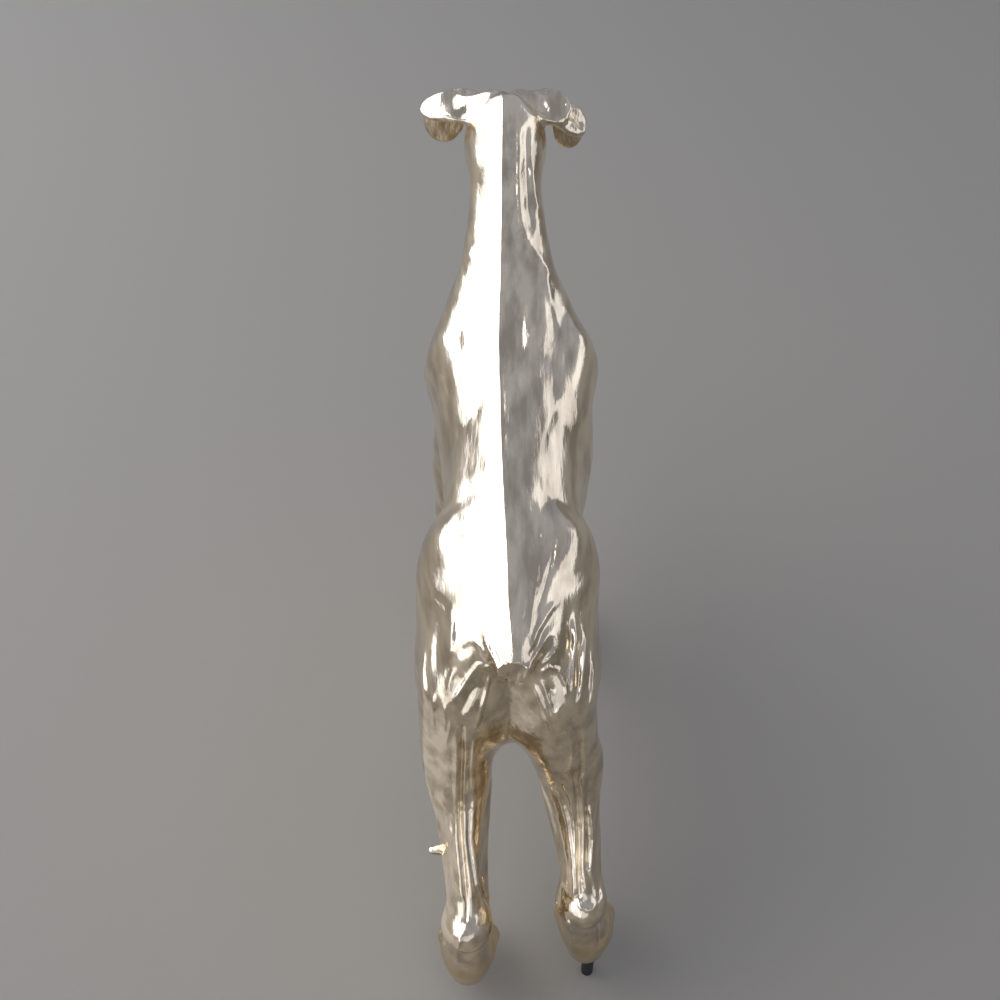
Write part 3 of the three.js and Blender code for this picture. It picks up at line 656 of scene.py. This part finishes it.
def in_chunks(field, points):
    """Field at many points, a part at a time."""
    parts = [field(*points[i : i + CHUNK].T) for i in range(0, len(points), CHUNK)]
    return np.concatenate(parts)


def sampled(axes):
    """Depth at the grid points; blocks far from the skin take the depth of their middle."""
    counts = [len(a) for a in axes]
    half = BLOCK // 2
    middles = [a[np.minimum(np.arange(half, n + half, BLOCK), n - 1)] for a, n in zip(axes, counts)]
    rough = in_chunks(form, np.stack(np.meshgrid(*middles, indexing="ij"), -1).reshape(-1, 3))
    rough = rough.reshape([len(m) for m in middles])
    for axis, n in enumerate(counts):
        rough = np.repeat(rough, BLOCK, axis).take(range(n), axis)
    near = np.nonzero(np.abs(rough) < BLOCK * max(GRID))
    points = np.stack([a[i] for a, i in zip(axes, near)], -1)
    rough[near] = in_chunks(skin, points)
    return rough


CORNERS = np.array([(c & 1, (c >> 1) & 1, c >> 2) for c in range(8)])
TETRAHEDRA = [(0, 1, 3, 7), (0, 3, 2, 7), (0, 2, 6, 7), (0, 6, 4, 7), (0, 4, 5, 7), (0, 5, 1, 7)]


def polygonised():
    """Skin as a closed net: each grid cube is six tetrahedra about its diagonal."""
    offset, least = 1e-5, 1e-9
    axes = [np.arange(a, b + step, step) + offset for a, b, step in zip(NET_LOW, NET_HIGH, GRID)]
    depth = sampled(axes)
    depth = np.where(depth == 0, least, depth)
    inside = depth < 0
    nx, ny, nz = depth.shape
    cubes = [inside[cx : nx - 1 + cx, cy : ny - 1 + cy, cz : nz - 1 + cz] for cx, cy, cz in CORNERS]
    mixed = np.stack(np.nonzero(np.logical_or.reduce(cubes) & ~np.logical_and.reduce(cubes)), -1)
    corner = mixed[:, None, :] + CORNERS[None]
    ids = (corner[..., 0] * ny + corner[..., 1]) * nz + corner[..., 2]
    flat = depth.ravel()
    edges = []
    sides = []

    def add(tets, choice, triangles):
        """Triangles across the edges of those tetrahedra whose corners lie as choice says."""
        hit = tets[choice]
        if not len(hit):
            return
        for triangle in triangles:
            edges.append(np.stack([hit[:, list(pair)] for pair in triangle], 1))
            sides.append(hit)

    for tetrahedron in TETRAHEDRA:
        tets = ids[:, tetrahedron]
        within = flat[tets] < 0
        count = within.sum(1)
        for one in range(4):
            others = [v for v in range(4) if v != one]
            lone = ((count == 1) & within[:, one]) | ((count == 3) & ~within[:, one])
            add(tets, lone, [[(one, v) for v in others]])
        for second in (1, 2, 3):
            a, b = 0, second
            c, e = [v for v in (1, 2, 3) if v != second]
            pair = (count == 2) & (within[:, a] == within[:, b])
            add(tets, pair, [[(a, c), (a, e), (b, e)], [(a, c), (b, e), (b, c)]])
    edges = np.concatenate(edges)
    sides = np.concatenate(sides)
    ends = np.sort(edges, -1)
    key = ends[..., 0].astype(np.int64) * len(flat) + ends[..., 1]
    unique, faces = np.unique(key, return_inverse=True)
    faces = faces.reshape(-1, 3)
    a, b = unique // len(flat), unique % len(flat)

    def place(index):
        """Position of grid points."""
        i, rest = np.divmod(index, ny * nz)
        j, k = np.divmod(rest, nz)
        return np.stack([axes[0][i], axes[1][j], axes[2][k]], -1)

    pa, pb = place(a), place(b)
    da, db = flat[a], flat[b]
    near_end, far_end = 0.02, 0.98
    share = np.clip(da / (da - db), near_end, far_end)
    points = pa + share[:, None] * (pb - pa)
    # Triangles are turned so that their front looks from the inner corners to the outer ones
    spot = place(sides.ravel()).reshape(-1, 4, 3)
    out = np.where(flat[sides] < 0, -1.0, 1.0)
    outer = (spot * np.maximum(out, 0)[..., None]).sum(1) / np.maximum(out, 0).sum(1)[:, None]
    inner = (spot * np.maximum(-out, 0)[..., None]).sum(1) / np.maximum(-out, 0).sum(1)[:, None]
    t = points[faces]
    normal = np.cross(t[:, 1] - t[:, 0], t[:, 2] - t[:, 0])
    turned = (normal * (outer - inner)).sum(1) < 0
    faces[turned] = faces[turned][:, ::-1]
    return points, faces


def gradient(points):
    """Slope of the skin's depth at points."""
    step = 0.6 * MM
    slope = np.empty_like(points)
    for axis in range(3):
        move = np.zeros(3)
        move[axis] = step
        slope[:, axis] = (in_chunks(skin, points + move) - in_chunks(skin, points - move)) / (2 * step)
    return slope


def mesh_from(name, points, faces):
    mesh = bpy.data.meshes.new(name)
    mesh.from_pydata(points.tolist(), [], faces.tolist())
    mesh.update()
    return mesh


def new_object(name, mesh):
    thing = bpy.data.objects.new(name, mesh)
    bpy.context.scene.collection.objects.link(thing)
    return thing


def vertices(mesh):
    flat = np.empty(3 * len(mesh.vertices))
    mesh.vertices.foreach_get("co", flat)
    return flat.reshape(-1, 3)


def make_dog():
    """The casting: its fine skin, thinned where it is even, with the field's own normals."""
    points, faces = polygonised()
    thing = new_object("dog_skin", mesh_from("dog_skin", points, faces))
    thin = thing.modifiers.new("thin", "DECIMATE")
    thin.ratio = min(1, MOST_TRIANGLES / len(faces))
    bpy.context.view_layer.update()
    thinned = bpy.data.meshes.new_from_object(thing.evaluated_get(bpy.context.evaluated_depsgraph_get()))
    thing.modifiers.clear()
    thing.data = thinned
    places = vertices(thinned)
    slope = gradient(places)
    depth = in_chunks(skin, places)
    gentlest, longest = 0.2, 0.3 * min(GRID)
    step = np.clip(depth / np.maximum((slope**2).sum(1), gentlest), -longest, longest)
    places -= step[:, None] * slope
    slope = gradient(places)
    world = places * WITHERS + ORIGIN
    low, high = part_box("dog")
    world = np.clip(world, np.array(low), np.array(high))
    thinned.vertices.foreach_set("co", world.ravel())
    thinned.polygons.foreach_set("use_smooth", [True] * len(thinned.polygons))
    thinned.update()
    normals = slope / np.linalg.norm(slope, axis=1)[:, None]
    thinned.normals_split_custom_set_from_vertices(normals.tolist())
    print("dog_skin triangles", len(thinned.polygons))
    return thing


# Finishes: the bronze's dark and light tones, a brown painted reflection of the floor at the paws, and the
# steel
BRONZE_DARK = (0.57, 0.475, 0.345, 1)
BRONZE_LIGHT = (0.92, 0.785, 0.585, 1)
# Painted reflection: brown that stands in for the floor reflected in the paws
BRONZE_FLOOR_REFLECTION = (0.72, 0.55, 0.29, 1)
STEEL = (0.03, 0.03, 0.032)
CONCRETE = (0.41, 0.375, 0.315)
SKY = (0.35, 0.38, 0.47, 1)
PANEL = (0.94, 0.98, 1.1)


def bronze_material():
    """Polished bronze with a brushed, slightly uneven surface."""
    material = bpy.data.materials.new("bronze")
    material.use_nodes = True
    nodes, links = material.node_tree.nodes, material.node_tree.links
    shader = nodes["Principled BSDF"]
    shader.inputs["Metallic"].default_value = 1
    where = nodes.new("ShaderNodeTexCoord")

    def streaks(scale, detail):
        """Noise drawn out along the dog."""
        stretch = nodes.new("ShaderNodeMapping")
        stretch.inputs["Scale"].default_value = scale
        noise = nodes.new("ShaderNodeTexNoise")
        noise.inputs["Scale"].default_value = 1.0
        noise.inputs["Detail"].default_value = detail
        links.new(where.outputs["Object"], stretch.inputs["Vector"])
        links.new(stretch.outputs["Vector"], noise.inputs["Vector"])
        return noise.outputs["Fac"]

    coarse = streaks((70, 14, 45), 5)
    fine = streaks((420, 26, 120), 3)
    tone = nodes.new("ShaderNodeValToRGB")
    tone.color_ramp.elements[0].position = 0.36
    tone.color_ramp.elements[0].color = BRONZE_DARK
    tone.color_ramp.elements[1].position = 0.62
    tone.color_ramp.elements[1].color = BRONZE_LIGHT
    links.new(coarse, tone.inputs["Fac"])
    # Painted reflection: the colour turns browner towards the soles, standing in for the brown floor and
    # the bronze reflected in the paws
    height = nodes.new("ShaderNodeSeparateXYZ")
    links.new(where.outputs["Object"], height.inputs["Vector"])
    floor_reflection_share = nodes.new("ShaderNodeMapRange")
    floor_reflection_share.inputs["From Min"].default_value = ORIGIN[2] + 0.03
    floor_reflection_share.inputs["From Max"].default_value = ORIGIN[2] + 0.1
    floor_reflection_share.inputs["To Min"].default_value = 0.75
    floor_reflection_share.inputs["To Max"].default_value = 0.0
    links.new(height.outputs["Z"], floor_reflection_share.inputs["Value"])
    painted_floor_reflection = nodes.new("ShaderNodeMix")
    painted_floor_reflection.data_type = "RGBA"
    painted_floor_reflection.inputs["B"].default_value = BRONZE_FLOOR_REFLECTION
    links.new(floor_reflection_share.outputs["Result"], painted_floor_reflection.inputs["Factor"])
    links.new(tone.outputs["Color"], painted_floor_reflection.inputs["A"])
    links.new(painted_floor_reflection.outputs["Result"], shader.inputs["Base Color"])
    rough = nodes.new("ShaderNodeMapRange")
    rough.inputs["To Min"].default_value = 0.07
    rough.inputs["To Max"].default_value = 0.24
    links.new(coarse, rough.inputs["Value"])
    links.new(rough.outputs["Result"], shader.inputs["Roughness"])
    uneven = nodes.new("ShaderNodeBump")
    uneven.inputs["Strength"].default_value = 0.5
    uneven.inputs["Distance"].default_value = 0.002
    links.new(coarse, uneven.inputs["Height"])
    brushed = nodes.new("ShaderNodeBump")
    brushed.inputs["Strength"].default_value = 0.5
    brushed.inputs["Distance"].default_value = 0.0003
    links.new(fine, brushed.inputs["Height"])
    links.new(uneven.outputs["Normal"], brushed.inputs["Normal"])
    links.new(brushed.outputs["Normal"], shader.inputs["Normal"])
    return material


def plain_material(name, colour, roughness, metallic=0.0):
    material = bpy.data.materials.new(name)
    material.use_nodes = True
    shader = material.node_tree.nodes["Principled BSDF"]
    shader.inputs["Base Color"].default_value = (*colour, 1)
    shader.inputs["Roughness"].default_value = roughness
    shader.inputs["Metallic"].default_value = metallic
    return material


# Stage
def make_floor():
    size = 6.0
    corners = [(-size, -size, 0), (size, -size, 0), (size, size, 0), (-size, size, 0)]
    floor = new_object("floor", mesh_from("floor", np.array(corners), np.array([[0, 1, 2, 3]])))
    floor.data.materials.append(plain_material("floor", CONCRETE, 0.9))


def softbox(name, place, target, width, length, radiance, lights_floor=True):
    """Rectangular area light at place, aimed at target, of an even radiance."""
    data = bpy.data.lights.new(name, "AREA")
    data.shape = "RECTANGLE"
    data.size = width
    data.size_y = length
    data.energy = radiance * np.pi * width * length
    light = new_object(name, data)
    light.location = place
    light.rotation_euler = (Vector(target) - Vector(place)).to_track_quat("-Z", "Y").to_euler()
    light.visible_camera = False
    light.visible_diffuse = lights_floor
    if not lights_floor:
        data.color = PANEL


def graded(name, place, target, width, length, radiance, fade=0.4, steps=3):
    """Softbox for the bronze alone, fading towards its edges."""
    for step in range(steps):
        grow = fade * step
        softbox(f"{name}_{step}", place, target, width + grow, length + grow, radiance / steps, False)


def light_stage():
    world = bpy.data.worlds.new("studio")
    world.use_nodes = True
    back = world.node_tree.nodes["Background"]
    back.inputs["Color"].default_value = SKY
    back.inputs["Strength"].default_value = 1.0
    bpy.context.scene.world = world
    softbox("overhead_left", (-3.35, 0.8, 2.8), (-3.35, 0.8, 0), 5.7, 7.0, 2.2, False)
    softbox("ahead_left", (-3.3, 3.4, 2.05), (-3.3, 0, 2.05), 4.2, 3.1, 1.8, False)
    softbox("ahead_left_low", (-3.2, 3.4, 1.9), (-3.2, 0, 1.9), 4.4, 3.4, 0.5, False)
    softbox("left", (-3.6, 0.0, 1.82), (0, 0.0, 1.82), 6.5, 2.16, 1.8, False)
    softbox("left_fore", (-3.6, 2.2, 0.6), (0, 2.2, 0.6), 2.2, 0.5, 1.6, False)
    softbox("left_low", (-3.6, 0.0, 1.6), (0, 0.0, 1.6), 6.7, 2.6, 0.5, False)
    graded("left_floor", (-0.42, -0.42, 0.005), (-0.42, -0.42, 1), 0.25, 0.25, 0.6, 0.12)
    graded("right", (3.2, 1.2, 1.0), (0, 1.2, 1.0), 4.2, 0.6, 2.3)
    graded("behind_left", (-1.8, -2.4, 0.56), (0, -0.4, 0.4), 2.6, 1.1, 3.4)
    graded("behind", (1.0, -3.0, 0.75), (0, -0.4, 0.4), 1.8, 1.0, 1.5)
    softbox("floor_light", (-2.4, 0.4, 3.4), (0, 0, 0), 3.0, 3.0, 1.8)


def make_camera():
    data = bpy.data.cameras.new("camera")
    data.sensor_width = SENSOR
    data.lens = SENSOR * FOCAL_PIXELS / IMAGE
    camera = new_object("camera", data)
    camera.location = ORIGIN + WITHERS * np.array(CAMERA)
    camera.rotation_euler = (np.radians(90 - CAMERA_DOWN), 0, 0)
    bpy.context.scene.camera = camera


make_camera()
dog = make_dog()
dog.data.materials.append(bronze_material())
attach(dog, "root")
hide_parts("dog")
steel = plain_material("steel", STEEL, 0.5, 0.6)
for name in STUDS:
    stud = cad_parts[name]
    stud.data.materials.clear()
    stud.data.materials.append(steel)
make_floor()
light_stage()
bpy.context.scene.view_settings.view_transform = "Standard"
